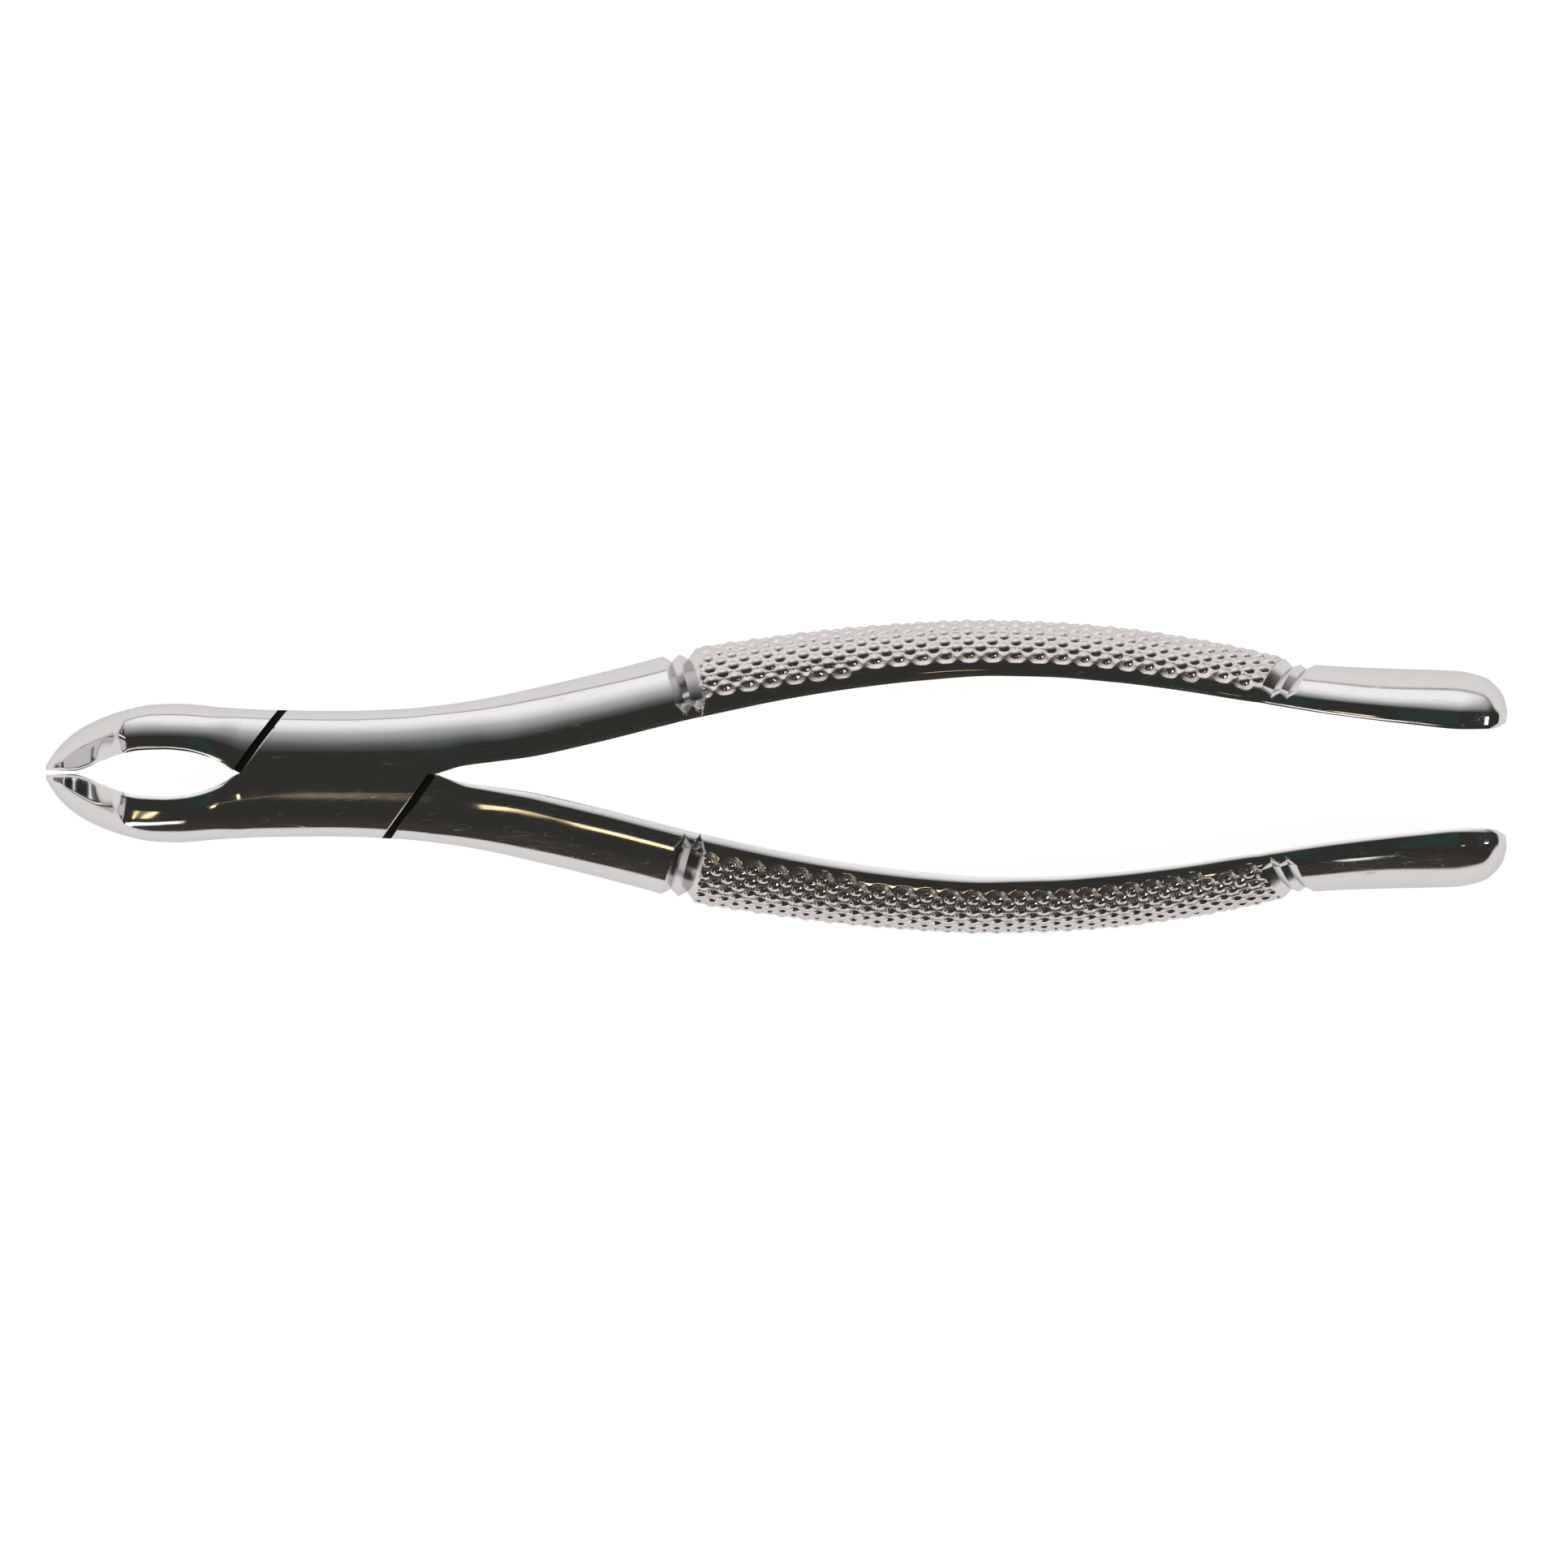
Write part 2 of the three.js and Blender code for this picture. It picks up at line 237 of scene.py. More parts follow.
def inner_side(reach, half, slope, width, drop, count):
    """Points over the inner side: a flat top, a bevel, a flat wall, and the same again below."""
    flat = np.linspace(0, reach - width, 5)[:-1]
    t = np.linspace(0, 1, count // 3 - 3)
    across = np.concatenate([flat, reach - width + width * t])
    top = np.concatenate([np.full(4, half), half - drop * t ** BEVEL_ROUNDING]) - slope * across
    wall = np.linspace(top[-1], -top[-1], count + 3 - 2 * len(top))[1:-1]
    across = np.concatenate([across, np.full(len(wall), reach), across[::-1]])
    return across, np.concatenate([top, wall, -top[::-1]])


def section(x):
    """One ring of the tube: v and z of its points, and their arcs from the outer apex."""
    outer, inner = float(outer_edge(x)), max(float(inner_edge(x)), 0)
    crest = inner + float(crest_share(x)) * (outer - inner)
    half = float(thickness(x)) / 2
    power = float(roundness(x))
    inner_reach = max(crest - inner, 0.004)
    width = float(bevel_width(x))
    narrowed = min(1, 0.8 * inner_reach / width)
    inner_shape = (float(ground_slope(x)), width * narrowed, float(bevel_drop(x)) * narrowed)
    arc = np.full(HANDLE_POINTS + 1, NO_ROW)
    if x <= -STEP_X:
        centre = -crest
        handle = inner_side(inner_reach, half, *inner_shape, HANDLE_POINTS)
        beak = outer_side(outer - crest, half, power, BEAK_POINTS)
    elif x < STEP_X:
        centre = 0
        handle = outer_side(outer, half, power, HANDLE_POINTS)
        beak = outer_side(outer, half, power, BEAK_POINTS)
    else:
        centre = crest
        handle = outer_side(outer - crest, half, power, HANDLE_POINTS)
        beak = inner_side(inner_reach, half, *inner_shape, BEAK_POINTS)
        arc = handle[2]
    v = np.concatenate([centre + handle[0], (centre - beak[0])[::-1][1:-1]])
    z = np.concatenate([handle[1], beak[1][::-1][1:-1]])
    quarter = arc[-1]
    # Past the crest the arcs go on, so that no row of beads starts there again.
    over_crest = np.where(beak[1] < 0, 1, -1) * (quarter + beak[0])
    arc = np.concatenate([arc, over_crest[::-1][1:-1]])
    return v, z, arc


def tube():
    """The grid of points of a half before it is cut, and what the knurl and the collars go by."""
    xs = stations()
    rings = [section(x) for x in xs]
    v = np.array([ring[0] for ring in rings])
    z = np.array([ring[1] for ring in rings])
    arc = np.array([ring[2] for ring in rings])
    side = np.where(xs < -STEP_X, -1.0, np.where(xs > STEP_X, 1.0, 0.0))
    inner = np.maximum(inner_edge(xs), 0)
    middle_line = (outer_edge(xs) + inner) / 2
    middle = side * middle_line
    blend = np.clip((xs - TURN_START) / (TURN_FULL - TURN_START), 0, 1)
    blend = blend * blend * (3 - 2 * blend)
    turn = np.arctan(np.gradient(middle_line, xs))
    turn = np.where(xs > TURN_HELD, np.interp(TURN_HELD, xs, turn), turn) * blend
    lean = np.radians(section_lean(xs))
    across = (v - middle[:, None]) * np.cos(turn)[:, None]
    points = np.stack([
        xs[:, None] - across * np.sin(turn)[:, None] - z * np.sin(lean)[:, None],
        middle[:, None] + across * np.cos(turn)[:, None],
        middle_height(xs)[:, None] + z * np.cos(lean)[:, None],
    ], axis=-1)
    along = np.concatenate([[0], np.cumsum(np.hypot(np.diff(xs), np.diff(middle_line)))])
    along = along - np.interp(GRIP[0], xs, along)
    from_inner = np.abs(v) - inner[:, None]
    return xs, points, arc, along, from_inner


def grid_normals(points):
    """Unit normals of the tube, pointing outwards."""
    along = np.gradient(points, axis=0)
    around = np.roll(points, -1, axis=1) - np.roll(points, 1, axis=1)
    normals = np.cross(along, around)
    length = np.linalg.norm(normals, axis=-1, keepdims=True)
    return normals / np.maximum(length, 1e-9)


def knurl(along, arc, quarter, phase):
    """Depth of the cuts round the beads, and where the floor between the beads lies.

    The beads are caps of spheres in rows that are offset by half a pitch, and a floor sinks
    towards the rim of each one from a rounded square outline. They cover the rounded side of the
    grip as far as they fit; quarter is the arc from that side's apex to the crest.
    """
    shape = np.broadcast(along, arc).shape
    depth = np.zeros(shape)
    on_bead = np.zeros(shape, bool)
    rim = BEAD[1] / RECESS[1]
    nearest_row = np.round(arc / ROW)
    for step in (-1, 0, 1):
        row = nearest_row + step
        a = along - phase - np.mod(row, 2) * PITCH / 2
        a = a - PITCH * np.round(a / PITCH)
        room = np.interp(along - a, along[:, 0], quarter) - ROW_MARGIN
        counted = np.abs(row) * ROW <= room
        a = np.abs(a)
        b = np.abs(arc - row * ROW)
        from_bead = np.hypot(a / BEAD[0], b / BEAD[1])
        cap = BEAD_RIM - np.sqrt(np.clip(BEAD_RIM ** 2 - from_bead ** 2, 0.01, None))
        cap = cap / (BEAD_RIM - math.sqrt(BEAD_RIM ** 2 - 1))
        outline = ((a / RECESS[0]) ** 3 + (b / RECESS[1]) ** 3) ** (1 / 3)
        floor = np.clip((1 - outline) / (1 - rim), 0, 1) ** 0.6
        cut = np.where(from_bead < 1, cap, floor)
        depth = np.maximum(depth, np.where(counted, cut, 0))
        on_bead |= (from_bead < 0.95) & counted
    return KNURL_DEPTH * depth, (depth > 0.1) & ~on_bead


def carved(phase):
    """The tube with the collars' grooves and the knurl cut into it, and masks of both."""
    xs, points, arc, along, from_inner = tube()
    deepest = max(depth for collar in COLLARS for _, depth in collar)
    sink = deepest * np.clip(1 - from_inner / GROOVE_FADE, 0, 1)
    groove = np.clip(collar_depth(xs)[:, None] - sink, 0, None)
    on_grip = ((xs >= GRIP[0]) & (xs <= GRIP[1]))[:, None]
    quarter = arc[:, HANDLE_POINTS]
    depth, floor = knurl(along[:, None], arc, quarter, phase)
    depth = np.where(on_grip, depth, 0)
    corners = [x for collar in COLLARS for x, _ in collar]
    crease = np.broadcast_to(np.isin(xs, corners)[:, None], groove.shape)
    masks = {"groove": groove > 0.01, "floor": floor & on_grip, "crease": crease}
    return points - grid_normals(points) * np.maximum(groove, depth)[..., None], masks


# ---- meshes --------------------------------------------------------------------------------------

def to_frame(points):
    """Millimetres from the pivot to metres in the frame."""
    return np.asarray(points, float) * MM + np.array([PIVOT.x, PIVOT.y, 0])


def new_object(name, points, faces):
    """A mesh object from points in millimetres from the pivot."""
    mesh = bpy.data.meshes.new(name)
    mesh.from_pydata(to_frame(points).tolist(), [], faces)
    mesh.update()
    piece = bpy.data.objects.new(name, mesh)
    bpy.context.scene.collection.objects.link(piece)
    return piece


def polished_faces(mesh):
    """Marks all faces as polished, which tells them from the ground faces that are cut later; the
    steel darkens those cut faces as painted shade.
    """
    skin = mesh.attributes.new("skin", "FLOAT", "FACE")
    skin.data.foreach_set("value", np.ones(len(mesh.polygons), np.float32))


def tube_object(name, points, masks, side):
    """side is 1 for the half whose handle is at +y and -1 for its mirror image."""
    rows, count = points.shape[:2]
    vertices = points.reshape(-1, 3) * np.array([1, side, 1])
    corner = np.arange(rows * count).reshape(rows, count)
    beside = np.roll(corner, -1, axis=1)
    quads = np.stack([corner[:-1], corner[1:], beside[1:], beside[:-1]], axis=-1).reshape(-1, 4)
    ends = [corner[0].tolist(), corner[-1][::-1].tolist()]
    if side > 0:
        quads = quads[:, ::-1]
        ends = [end[::-1] for end in ends]
    piece = new_object(name, vertices, quads.tolist() + ends)
    for mask, values in masks.items():
        attribute = piece.data.attributes.new(mask, "FLOAT", "POINT")
        attribute.data.foreach_set("value", values.astype(np.float32).ravel())
    polished_faces(piece.data)
    return piece


def prism(outline, low, high):
    """A closed block over a flat outline, given anticlockwise."""
    count = len(outline)
    points = [(x, y, low) for x, y in outline] + [(x, y, high) for x, y in outline]
    faces = [list(range(count))[::-1], list(range(count, 2 * count))]
    for i in range(count):
        j = (i + 1) % count
        faces.append([i, j, count + j, count + i])
    return new_object("cutter", points, faces)


def ellipsoid(centre, radii, tilt):
    """An ellipsoid turned about y by tilt."""
    mesh = bpy.data.meshes.new("cutter")
    ball = bmesh.new()
    bmesh.ops.create_uvsphere(ball, u_segments=64, v_segments=40, radius=1)
    ball.transform(Matrix.Diagonal((*radii, 1)))
    ball.transform(Matrix.Rotation(tilt, 4, "Y"))
    ball.transform(Matrix.Translation(centre))
    for vertex in ball.verts:
        vertex.co = Vector(to_frame(vertex.co))
    ball.to_mesh(mesh)
    ball.free()
    polished_faces(mesh)
    piece = bpy.data.objects.new("cutter", mesh)
    bpy.context.scene.collection.objects.link(piece)
    return piece


def subtract(piece, cutter):
    """Cuts the cutter's shape out of the piece, and removes the cutter."""
    modifier = piece.modifiers.new("cut", "BOOLEAN")
    modifier.object = cutter
    modifier.operation = "DIFFERENCE"
    modifier.solver = "MANIFOLD"
    evaluated = piece.evaluated_get(bpy.context.evaluated_depsgraph_get())
    mesh = bpy.data.meshes.new_from_object(evaluated)
    piece.modifiers.clear()
    old = piece.data
    piece.data = mesh
    bpy.data.meshes.remove(old)
    bpy.data.objects.remove(cutter)


def strip(lean, low, high, length=60):
    """Outline of the strip low < x cos(lean) + y sin(lean) < high."""
    along = np.array([math.cos(lean), math.sin(lean)])
    across = np.array([-math.sin(lean), math.cos(lean)])
    corners = [along * low - across * length, along * high - across * length]
    corners += [along * high + across * length, along * low + across * length]
    return [tuple(c) for c in corners]


def cut_lap(piece, side):
    """Cuts the joint: a pocket through one layer, and the two notches that end the plate."""
    far = 30
    gap = LAP_GAP / 2
    pocket = strip(side * SLOT_LEAN, -POCKET_REACH, POCKET_REACH)
    layer = (-far, JOINT_Z + gap) if side > 0 else (JOINT_Z - gap, far)
    subtract(piece, prism(pocket, *layer))
    notch_depth = 12
    foot = PLATE_REACH / math.cos(SLOT_LEAN)
    head = foot - notch_depth * math.tan(SLOT_LEAN)
    corner = STEP_X + 0.005
    for end in (-1, 1):
        v = -end * side * notch_depth
        outline = [(end * foot, 0), (end * corner, 0), (end * corner, v), (end * head, v)]
        if end * v < 0:
            outline.reverse()
        subtract(piece, prism(outline, -far, far + JOINT_Z))


def rod(line, normal, radius):
    """A thin closed rod of square section along a curve in the plane that normal stands on."""
    line = np.asarray(line)
    along = np.gradient(line, axis=0)
    along /= np.linalg.norm(along, axis=1, keepdims=True)
    across = np.cross(along, normal)
    points = []
    for centre, side in zip(line, across):
        points += [centre + radius * side, centre + radius * normal]
        points += [centre - radius * side, centre - radius * normal]
    faces = [[0, 1, 2, 3], [len(points) - 1 - i for i in range(4)]]
    for start in range(0, len(points) - 4, 4):
        for i in range(4):
            j = (i + 1) % 4
            faces.append([start + j, start + i, start + 4 + i, start + 4 + j])
    piece = new_object("cutter", points, faces)
    polished_faces(piece.data)
    return piece


def break_edges(piece, side):
    """Takes the sharp edges off the ends of the plate and off the shoulders that face them."""
    for up in (1, -1):
        lean = -up * SLOT_LEAN
        normal = np.array([math.cos(lean), math.sin(lean), 0])
        reach = PLATE_REACH if up == side else POCKET_REACH
        for end in (1, -1):
            y = -up * end * np.linspace(-0.1, 10, 102)
            x = (end * reach - y * math.sin(lean)) / math.cos(lean)
            share = np.clip(np.abs(y) / outer_edge(x), 0, 1)
            power = roundness(x)
            z = JOINT_Z + up * thickness(x) / 2 * (1 - share ** power) ** (1 / power)
            line = np.stack([x, y, z], axis=1)[share < 1]
            subtract(piece, rod(line, normal, EDGE_BREAK))


def turned(profile, steps):
    """A closed solid of revolution about the pivot; the profile starts and ends on the axis."""
    ring = profile[1:-1]
    points = [(0, 0, profile[0][1]), (0, 0, profile[-1][1])]
    for r, z in ring:
        for i in range(steps):
            angle = 2 * math.pi * i / steps
            points.append((r * math.cos(angle), r * math.sin(angle), z))
    faces = []
    for i in range(steps):
        j = (i + 1) % steps
        faces.append([0, 2 + j, 2 + i])
        last = 2 + (len(ring) - 1) * steps
        faces.append([1, last + i, last + j])
        for row in range(len(ring) - 1):
            low = 2 + row * steps
            faces.append([low + i, low + j, low + steps + j, low + steps + i])
    return new_object("turned", points, faces)


def bore(piece, profile):
    """Bores a hole about the pivot; the profile's heights count from the lap plane."""
    lifted = [(r, JOINT_Z + z) for r, z in profile]
    subtract(piece, turned(lifted, SCREW_STEPS))


def thread_hole():
    """Profile of the blind hole in the front half."""
    radius = THREAD_RADIUS + SCREW_GAP
    return [(0, -PAST), (radius, -PAST), (radius, HOLE_TOP), (0, HOLE_TOP)]


def shank_bore():
    """Profile of the bore through the back half, with the chamfered seat for the screw's head."""
    mouth = HEAD_RADIUS + HEAD_GAP
    radius = SHANK_RADIUS + SCREW_GAP
    return [(0, -PAST), (mouth + 0.25, -PAST), (mouth + 0.25, -LAND - 0.1), (mouth, -LAND + 0.15),
            (mouth, SEAT), (radius, SEAT), (radius, PAST), (0, PAST)]


def hollow_beak(piece, side):
    """Hollows the inside of the beak, to take the crown of a tooth."""
    z = float(middle_height(CUP_X)) - CUP_SINK
    subtract(piece, ellipsoid((CUP_X, -CUP_OFFSET * side, z), CUP_RADII, CUP_TILT))


def finish_mesh(piece, sharp_angle):
    """Smooth shading, except at edges that turn by more than sharp_angle degrees."""
    mesh = piece.data
    mesh.shade_smooth()
    mesh.set_sharp_from_angle(angle=math.radians(sharp_angle))


def sharpen_collars(mesh):
    """Marks the rings at the corners of the collars' grooves as sharp edges."""
    crease = np.empty(len(mesh.vertices), np.float32)
    mesh.attributes["crease"].data.foreach_get("value", crease)
    ends = np.empty(2 * len(mesh.edges), np.int32)
    mesh.edges.foreach_get("vertices", ends)
    sharp = np.empty(len(mesh.edges), bool)
    mesh.edges.foreach_get("use_edge_sharp", sharp)
    sharp |= (crease[ends.reshape(-1, 2)] > 0.99).all(axis=1)
    mesh.edges.foreach_set("use_edge_sharp", sharp)


def make_half(name, node, body, side, phase, material):
    """One forging: the tube, hollowed at the beak, cut at the lap joint and bored for the screw."""
    piece = tube_object(name, *carved(phase), side)
    hollow_beak(piece, side)
    cut_lap(piece, side)
    break_edges(piece, side)
    bore(piece, thread_hole() if side > 0 else shank_bore())
    finish_mesh(piece, 42)
    sharpen_collars(piece.data)
    piece.data.materials.clear()
    piece.data.materials.append(material)
    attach(piece, body)
    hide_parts(node)


def make_screw(material):
    """The joint's screw, with a slotted head on the under side."""
    base = JOINT_Z - LAND + HEAD_SINK
    shoulder = base + HEAD_HEIGHT
    start = JOINT_Z + THREAD_START
    top = JOINT_Z + THREAD_TOP
    chamfer = 0.3
    profile = [(0, base), (HEAD_RADIUS - 0.3, base), (HEAD_RADIUS - 0.08, base + 0.08),
               (HEAD_RADIUS, base + 0.3), (HEAD_RADIUS, shoulder), (SHANK_RADIUS, shoulder),
               (SHANK_RADIUS, start), (THREAD_RADIUS, start), (THREAD_RADIUS, top - chamfer),
               (THREAD_RADIUS - chamfer, top), (0, top)]
    piece = turned(profile, SCREW_STEPS)
    piece.name = piece.data.name = "joint_screw"
    slot_width, slot_depth = 0.9, 0.8
    slot = strip(SLOT_LEAN + math.pi / 2, -slot_width / 2, slot_width / 2, 8)
    subtract(piece, prism(slot, base - 1, base + slot_depth))
    finish_mesh(piece, 30)
    piece.data.materials.clear()
    piece.data.materials.append(material)
    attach(piece, "front")
    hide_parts("pivot_screw")


# ---- shader helpers ------------------------------------------------------------------------------

def join(tree, socket, value):
    """Sets a socket to a number, a tuple or another node's output."""
    if isinstance(value, bpy.types.NodeSocket):
        tree.links.new(value, socket)
    else:
        socket.default_value = value


def math_node(tree, operation, *values):
    node = tree.nodes.new("ShaderNodeMath")
    node.operation = operation
    for socket, value in zip(node.inputs, values):
        join(tree, socket, value)
    return node.outputs[0]


def ramp(tree, value, low, high, start=0.0, end=1.0):
    """start below low, end above high and smooth between."""
    node = tree.nodes.new("ShaderNodeMapRange")
    node.interpolation_type = "SMOOTHSTEP"
    join(tree, node.inputs["Value"], value)
    node.inputs["From Min"].default_value = low
    node.inputs["From Max"].default_value = high
    node.inputs["To Min"].default_value = start
    node.inputs["To Max"].default_value = end
    return node.outputs["Result"]


def mix_colour(tree, factor, below, above):
    node = tree.nodes.new("ShaderNodeMix")
    node.data_type = "RGBA"
    join(tree, node.inputs[0], factor)
    join(tree, node.inputs[6], below if isinstance(below, bpy.types.NodeSocket) else (*below, 1))
    join(tree, node.inputs[7], above if isinstance(above, bpy.types.NodeSocket) else (*above, 1))
    return node.outputs[2]


def noise(tree, place, stretch, scale, detail=3.0):
    """Noise with `scale` cells per metre, drawn out along the axes where stretch is under 1."""
    mapping = tree.nodes.new("ShaderNodeMapping")
    mapping.inputs["Scale"].default_value = stretch
    tree.links.new(place, mapping.inputs["Vector"])
    node = tree.nodes.new("ShaderNodeTexNoise")
    node.inputs["Scale"].default_value = scale
    node.inputs["Detail"].default_value = detail
    node.inputs["Roughness"].default_value = 0.6
    tree.links.new(mapping.outputs[0], node.inputs["Vector"])
    return node.outputs["Fac"]


def attribute(tree, name):
    """The value of one of the masks that the meshes carry."""
    node = tree.nodes.new("ShaderNodeAttribute")
    node.attribute_name = name
    return node.outputs["Fac"]


def bump(tree, height, strength, distance, normal=None):
    """A normal bent by height, on top of another one if it is given."""
    node = tree.nodes.new("ShaderNodeBump")
    node.inputs["Strength"].default_value = strength
    node.inputs["Distance"].default_value = distance
    tree.links.new(height, node.inputs["Height"])
    if normal is not None:
        tree.links.new(normal, node.inputs["Normal"])
    return node.outputs[0]


def metal(name):
    """A new metal material: its tree, its shader and its object coordinates."""
    material = bpy.data.materials.new(name)
    material.use_nodes = True
    tree = material.node_tree
    shader = tree.nodes["Principled BSDF"]
    shader.inputs["Metallic"].default_value = 1
    place = tree.nodes.new("ShaderNodeTexCoord").outputs["Object"]
    return material, tree, shader, place


# ---- materials -----------------------------------------------------------------------------------

def thin_lines(tree, place, lean, scale, width):
    """Long fine lines that run along x, turned by lean: 1 on a line and 0 between."""
    turn = tree.nodes.new("ShaderNodeMapping")
    turn.inputs["Rotation"].default_value = (0, 0, lean)
    tree.links.new(place, turn.inputs["Vector"])
    course = noise(tree, turn.outputs[0], (0.008, 1, 1), scale, 0.0)
    away = math_node(tree, "ABSOLUTE", math_node(tree, "SUBTRACT", course, 0.5))
    line = ramp(tree, away, 0.0, width, 1.0, 0.0)
    stretch = ramp(tree, noise(tree, turn.outputs[0], (0.4, 1, 1), 0.6 * scale, 1.0), 0.5, 0.6)
    return math_node(tree, "MULTIPLY", line, stretch)


def long_scratch(tree, place):
    """The one long scratch, which runs over the front half's plate from its beak."""
    start, end = PIVOT.x - 15.5 * MM, PIVOT.x + 9.6 * MM
    split = tree.nodes.new("ShaderNodeSeparateXYZ")
    tree.links.new(place, split.inputs[0])
    x, y, _ = split.outputs
    run = tree.nodes.new("ShaderNodeMapRange")
    tree.links.new(x, run.inputs["Value"])
    run.inputs["From Min"].default_value = end
    run.inputs["From Max"].default_value = start
    bend = math_node(tree, "POWER", run.outputs[0], 4.0)
    course = math_node(tree, "ADD", math_node(tree, "MULTIPLY", bend, 1.7 * MM), 2.4 * MM)
    away = math_node(tree, "ABSOLUTE", math_node(tree, "ADD", y, course))
    line = ramp(tree, away, 0.02 * MM, 0.07 * MM, 1.0, 0.0)
    within = math_node(tree, "MULTIPLY", math_node(tree, "GREATER_THAN", x, start),
                       math_node(tree, "LESS_THAN", x, end))
    return math_node(tree, "MULTIPLY", line, within)


def polished_steel():
    """Mirror-polished steel with lengthwise buffing lines and scratches, and a duller knurl; the
    knurl's floor carries a painted warm reflection tint, and the cut faces of the joint and bores a
    painted dark shade.
    """
    material, tree, shader, place = metal("polished_steel")
    groove = attribute(tree, "groove")
    floor = attribute(tree, "floor")
    # 1 on the faces that the cutters leave, the slots of the joint and the bores, which get painted
    # shade below.
    cut = math_node(tree, "SUBTRACT", 1.0, attribute(tree, "skin"))

    buffing = noise(tree, place, (0.03, 1, 1), 9000, 2.0)
    waves = noise(tree, place, (0.5, 1, 1), 180, 1.0)
    clouds = noise(tree, place, (0.6, 1, 1), 260)
    pits = ramp(tree, noise(tree, place, (1, 1, 1), 9000, 0.0), 0.78, 0.84)
    filing = noise(tree, place, (1, 0.06, 0.06), 16000, 2.0)
    grit = noise(tree, place, (1, 1, 1), 5000, 2.0)
    scratch = thin_lines(tree, place, 0.04, 800, 0.008)
    for lean, scale, width in ((-0.09, 1300, 0.01), (-0.22, 900, 0.008), (0.16, 420, 0.004)):
        more = thin_lines(tree, place, lean, scale, width)
        scratch = math_node(tree, "MAXIMUM", scratch, more)
    split = tree.nodes.new("ShaderNodeSeparateXYZ")
    tree.links.new(place, split.inputs[0])
    behind_beaks = ramp(tree, split.outputs[0], PIVOT.x - 14 * MM, PIVOT.x - 8 * MM, 0.25, 0.8)
    scratch = math_node(tree, "MULTIPLY", scratch, behind_beaks)
    scratch = math_node(tree, "MAXIMUM", scratch, long_scratch(tree, place))

    colour = mix_colour(tree, clouds, (0.59, 0.575, 0.57), (0.63, 0.62, 0.615))
    colour = mix_colour(tree, math_node(tree, "MULTIPLY", pits, 0.4), colour, (0.3, 0.28, 0.27))
    # Painted reflection: the rougher floor between the beads gets a lighter, pinkish tint for the
    # warm light it reflects.
    colour = mix_colour(tree, floor, colour, (0.64, 0.575, 0.555))
    # Painted shade: the cut faces in the slots and bores are made near black, over their rougher
    # ground finish.
    colour = mix_colour(tree, cut, colour, (0.2, 0.185, 0.17))
    tree.links.new(colour, shader.inputs["Base Color"])
    shader.inputs["Specular Tint"].default_value = (0.75, 0.75, 0.77, 1)

    rough = ramp(tree, clouds, 0.3, 0.7, 0.05, 0.1)
    for mask, value in ((scratch, 0.45), (floor, 0.24), (groove, 0.14), (cut, 0.3)):
        rough = math_node(tree, "MAXIMUM", rough, math_node(tree, "MULTIPLY", mask, value))
    tree.links.new(rough, shader.inputs["Roughness"])

    normal = bump(tree, waves, 0.1, 0.0002)
    normal = bump(tree, buffing, 0.05, 0.00001, normal)
    normal = bump(tree, math_node(tree, "MULTIPLY", pits, -1.0), 0.2, 0.00002, normal)
    normal = bump(tree, math_node(tree, "MULTIPLY", filing, groove), 0.25, 0.00003, normal)
    normal = bump(tree, math_node(tree, "MULTIPLY", grit, floor), 0.5, 0.00006, normal)
    tree.links.new(normal, shader.inputs["Normal"])
    return material


def screw_steel():
    """Turned steel: fine rings round the pivot's axis, and a rougher face than the halves."""
    material, tree, shader, place = metal("screw_steel")
    split = tree.nodes.new("ShaderNodeSeparateXYZ")
    tree.links.new(place, split.inputs[0])
    x = math_node(tree, "SUBTRACT", split.outputs[0], PIVOT.x)
    radius = math_node(tree, "SQRT", math_node(tree, "ADD", math_node(tree, "MULTIPLY", x, x),
                                               math_node(tree, "POWER", split.outputs[1], 2.0)))
    rings = tree.nodes.new("ShaderNodeTexNoise")
    rings.noise_dimensions = "1D"
    rings.inputs["Scale"].default_value = 9000
    tree.links.new(radius, rings.inputs["W"])
    clouds = noise(tree, place, (1, 1, 1), 500)
    tree.links.new(mix_colour(tree, clouds, (0.52, 0.51, 0.5), (0.59, 0.58, 0.57)),
                   shader.inputs["Base Color"])
    tree.links.new(ramp(tree, clouds, 0.3, 0.7, 0.18, 0.3), shader.inputs["Roughness"])
    tree.links.new(bump(tree, rings.outputs["Fac"], 0.3, 0.00003), shader.inputs["Normal"])
    return material


# ---- stage ---------------------------------------------------------------------------------------

def add_floor():
    """A pale table whose emission paints a pool of light, brightest round the forceps."""
    half = 3.0
    mesh = bpy.data.meshes.new("floor")
    corners = [(-half, -half, 0), (half, -half, 0), (half, half, 0), (-half, half, 0)]
    mesh.from_pydata(corners, [], [(0, 1, 2, 3)])
    floor = bpy.data.objects.new("floor", mesh)
    bpy.context.scene.collection.objects.link(floor)
    material = bpy.data.materials.new("floor")
    material.use_nodes = True
    tree = material.node_tree
    shader = tree.nodes["Principled BSDF"]
    shader.inputs["Base Color"].default_value = (0.5, 0.5, 0.5, 1)
    shader.inputs["Roughness"].default_value = 0.8
    shader.inputs["Specular IOR Level"].default_value = 0.1
    shader.inputs["Emission Color"].default_value = (1, 0.985, 0.98, 1)
    distance = tree.nodes.new("ShaderNodeVectorMath")
    distance.operation = "LENGTH"
    place = tree.nodes.new("ShaderNodeTexCoord").outputs["Object"]
    tree.links.new(place, distance.inputs[0])
    # Painted pool of light: the emission is strongest round the forceps and fades further out.
    painted_light_pool = ramp(tree, distance.outputs["Value"], 0.15, 0.5, 0.8, 0.3)
    tree.links.new(painted_light_pool, shader.inputs["Emission Strength"])
    mesh.materials.append(material)


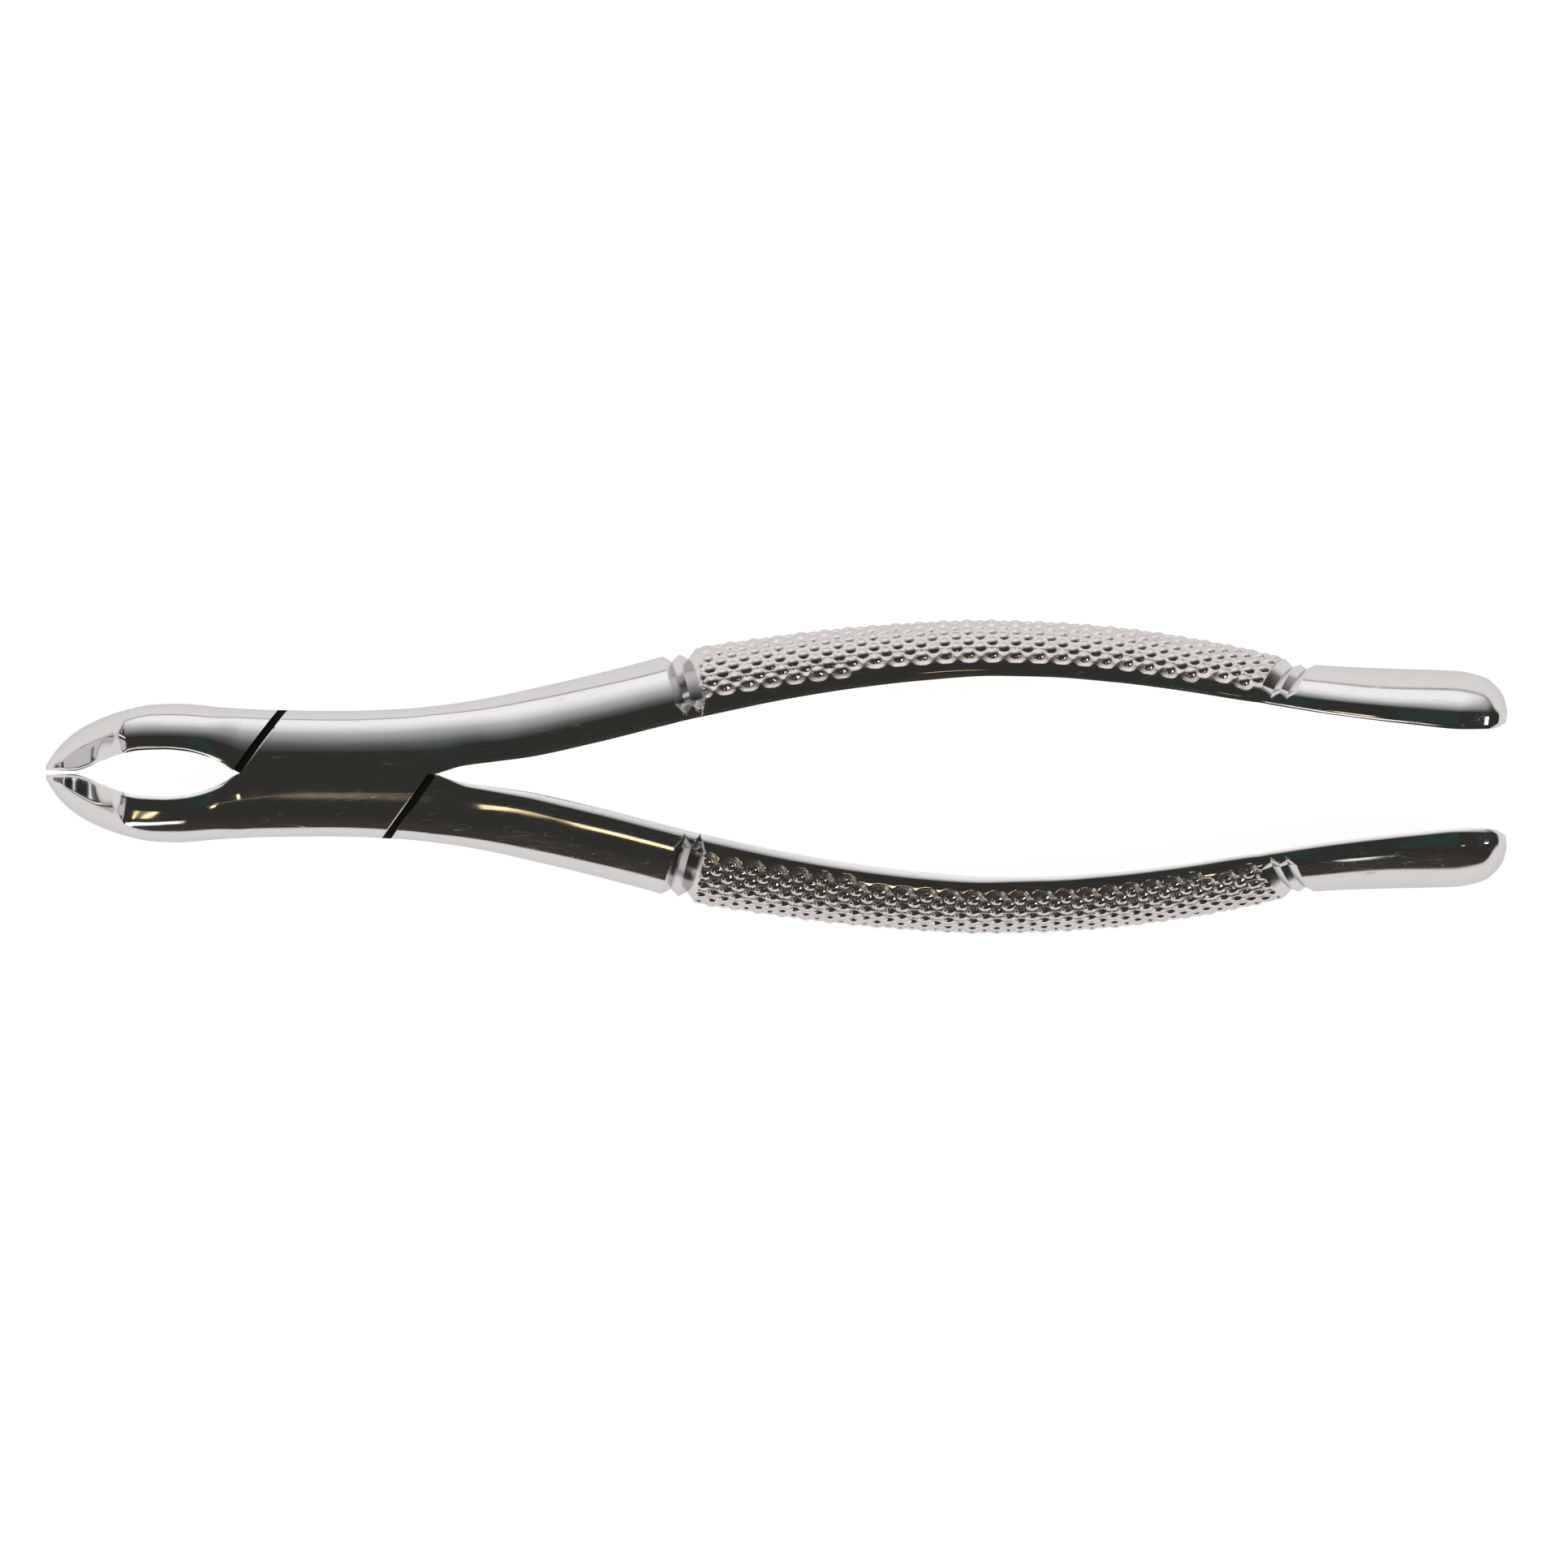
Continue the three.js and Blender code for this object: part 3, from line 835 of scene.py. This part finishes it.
def lamp_mask(tree, x, y, at, half_size):
    """1 in a small rectangle of the sky, given by the x and y of its directions."""
    sides = []
    for value, centre, half in zip((x, y), at, half_size):
        away = math_node(tree, "ABSOLUTE", math_node(tree, "SUBTRACT", value, centre))
        sides.append(math_node(tree, "DIVIDE", away, half))
    return ramp(tree, math_node(tree, "MAXIMUM", *sides), 0.85, 1.15, 1.0, 0.0)


WARM = (2.7, 2.0, 1.2)
LAMPS = (                       # x and y of the direction, half sizes, radiance
    ((0.035, -0.4), (0.047, 0.05), WARM),
    ((-0.445, -0.56), (0.016, 0.14), WARM),
    ((-0.52, -0.56), (0.012, 0.16), WARM),
    ((0.62, -0.14), (0.09, 0.09), (7.0, 7.0, 7.0)),
    ((-0.4, -0.85), (0.17, 0.035), (1.8, 1.8, 1.85)),
    ((-0.88, 0.22), (0.12, 0.035), (1.6, 1.6, 1.6)),
)


CARDS = (                       # y and z of the direction, beyond the beaks; half sizes, radiance
    ((0.45, 0.13), (0.1, 0.02), (1.3, 1.3, 1.3)),
    ((0.48, 0.27), (0.12, 0.12), (0.03, 0.03, 0.03)),
    ((-0.5, 0.06), (0.065, 0.055), (0.03, 0.03, 0.03)),
)


# Share of the far light's radiance at each y of the direction.
SOFT_LIGHT = ((0.38, 0.0), (0.55, 0.1), (0.69, 0.31), (0.78, 0.45), (0.86, 0.72), (0.96, 1.0))


def add_world():
    """A dark studio with a large soft light on the far side and a few small lamps overhead."""
    world = bpy.data.worlds.new("studio")
    bpy.context.scene.world = world
    world.use_nodes = True
    tree = world.node_tree
    background = tree.nodes["Background"]
    direction = tree.nodes.new("ShaderNodeTexCoord").outputs["Generated"]
    split = tree.nodes.new("ShaderNodeSeparateXYZ")
    tree.links.new(direction, split.inputs[0])
    x, y, z = split.outputs

    # A greenish window overhead, and a dim warmer room on the near side.
    overhead = math_node(tree, "MULTIPLY", ramp(tree, x, -0.2, -0.04, 1.0, 0.0),
                         ramp(tree, x, -0.4, -0.16))
    overhead = math_node(tree, "MULTIPLY", overhead, ramp(tree, y, -0.35, -0.1))
    shade = mix_colour(tree, overhead, (0.044, 0.044, 0.04), (0.036, 0.064, 0.058))
    low_front = ramp(tree, y, -0.98, -0.82, 1.0, 0.0)
    shade = mix_colour(tree, low_front, shade, (0.066, 0.056, 0.046))
    for at, half_size, radiance in LAMPS:
        shade = mix_colour(tree, lamp_mask(tree, x, y, at, half_size), shade, radiance)

    # A pale wall past the beaks.
    beyond = math_node(tree, "MULTIPLY", ramp(tree, x, -0.84, -0.7, 1.0, 0.0),
                       ramp(tree, y, -0.75, -0.55))
    beyond = math_node(tree, "MULTIPLY", beyond, ramp(tree, y, -0.02, 0.1, 1.0, 0.0))
    shade = mix_colour(tree, beyond, shade, (0.8, 0.79, 0.79))

    # The soft light on the far side: it leans a little, and dips towards the horizon.
    leaned = math_node(tree, "SUBTRACT", y, math_node(tree, "MULTIPLY", x, 0.15))
    gradient = tree.nodes.new("ShaderNodeValToRGB")
    stops = gradient.color_ramp.elements
    while len(stops) < len(SOFT_LIGHT):
        stops.new(0.5)
    for stop, (position, level) in zip(stops, SOFT_LIGHT):
        stop.position = position
        stop.color = (level, level, level, 1)
    tree.links.new(leaned, gradient.inputs[0])
    behind = math_node(tree, "MULTIPLY", gradient.outputs[0], ramp(tree, z, 0.0, 0.06, 0.4, 1.0))
    shade = mix_colour(tree, behind, shade, (1.4, 1.39, 1.4))
    past_beaks = ramp(tree, x, -0.8, -0.76, 1.0, 0.0)
    for at, half_size, radiance in CARDS:
        card = math_node(tree, "MULTIPLY", lamp_mask(tree, y, z, at, half_size), past_beaks)
        shade = mix_colour(tree, card, shade, radiance)

    path = tree.nodes.new("ShaderNodeLightPath")
    shade = mix_colour(tree, path.outputs["Is Camera Ray"], shade, (1, 1, 1))
    tree.links.new(shade, background.inputs["Color"])
    background.inputs["Strength"].default_value = 1


def add_fill():
    """Lights the floor from above without showing in the steel."""
    light = bpy.data.lights.new("fill", "AREA")
    light.shape = "DISK"
    light.size = 1.2
    light.energy = 5
    lamp = bpy.data.objects.new("fill", light)
    lamp.location = (0, 0, 1.2)
    lamp.visible_glossy = False
    bpy.context.scene.collection.objects.link(lamp)


def add_camera():
    """High above the object and looking straight down, with the beaks on the left."""
    height = 1.6
    view_width = 0.1907
    data = bpy.data.cameras.new("camera")
    data.sensor_width = 36
    data.lens = 36 * (height - JOINT_Z * MM) / view_width
    camera = bpy.data.objects.new("camera", data)
    camera.location = (0.00125, -0.001, height)
    camera.rotation_euler = (0, 0, 0.0045)
    bpy.context.scene.collection.objects.link(camera)
    bpy.context.scene.camera = camera


add_camera()
add_floor()
add_world()
add_fill()
polished = polished_steel()
make_half("front_forging", "front_half", "front", 1, FRONT_PHASE, polished)
make_half("back_forging", "back_half", "back", -1, BACK_PHASE, polished)
make_screw(screw_steel())
bpy.context.scene.view_settings.view_transform = "Standard"
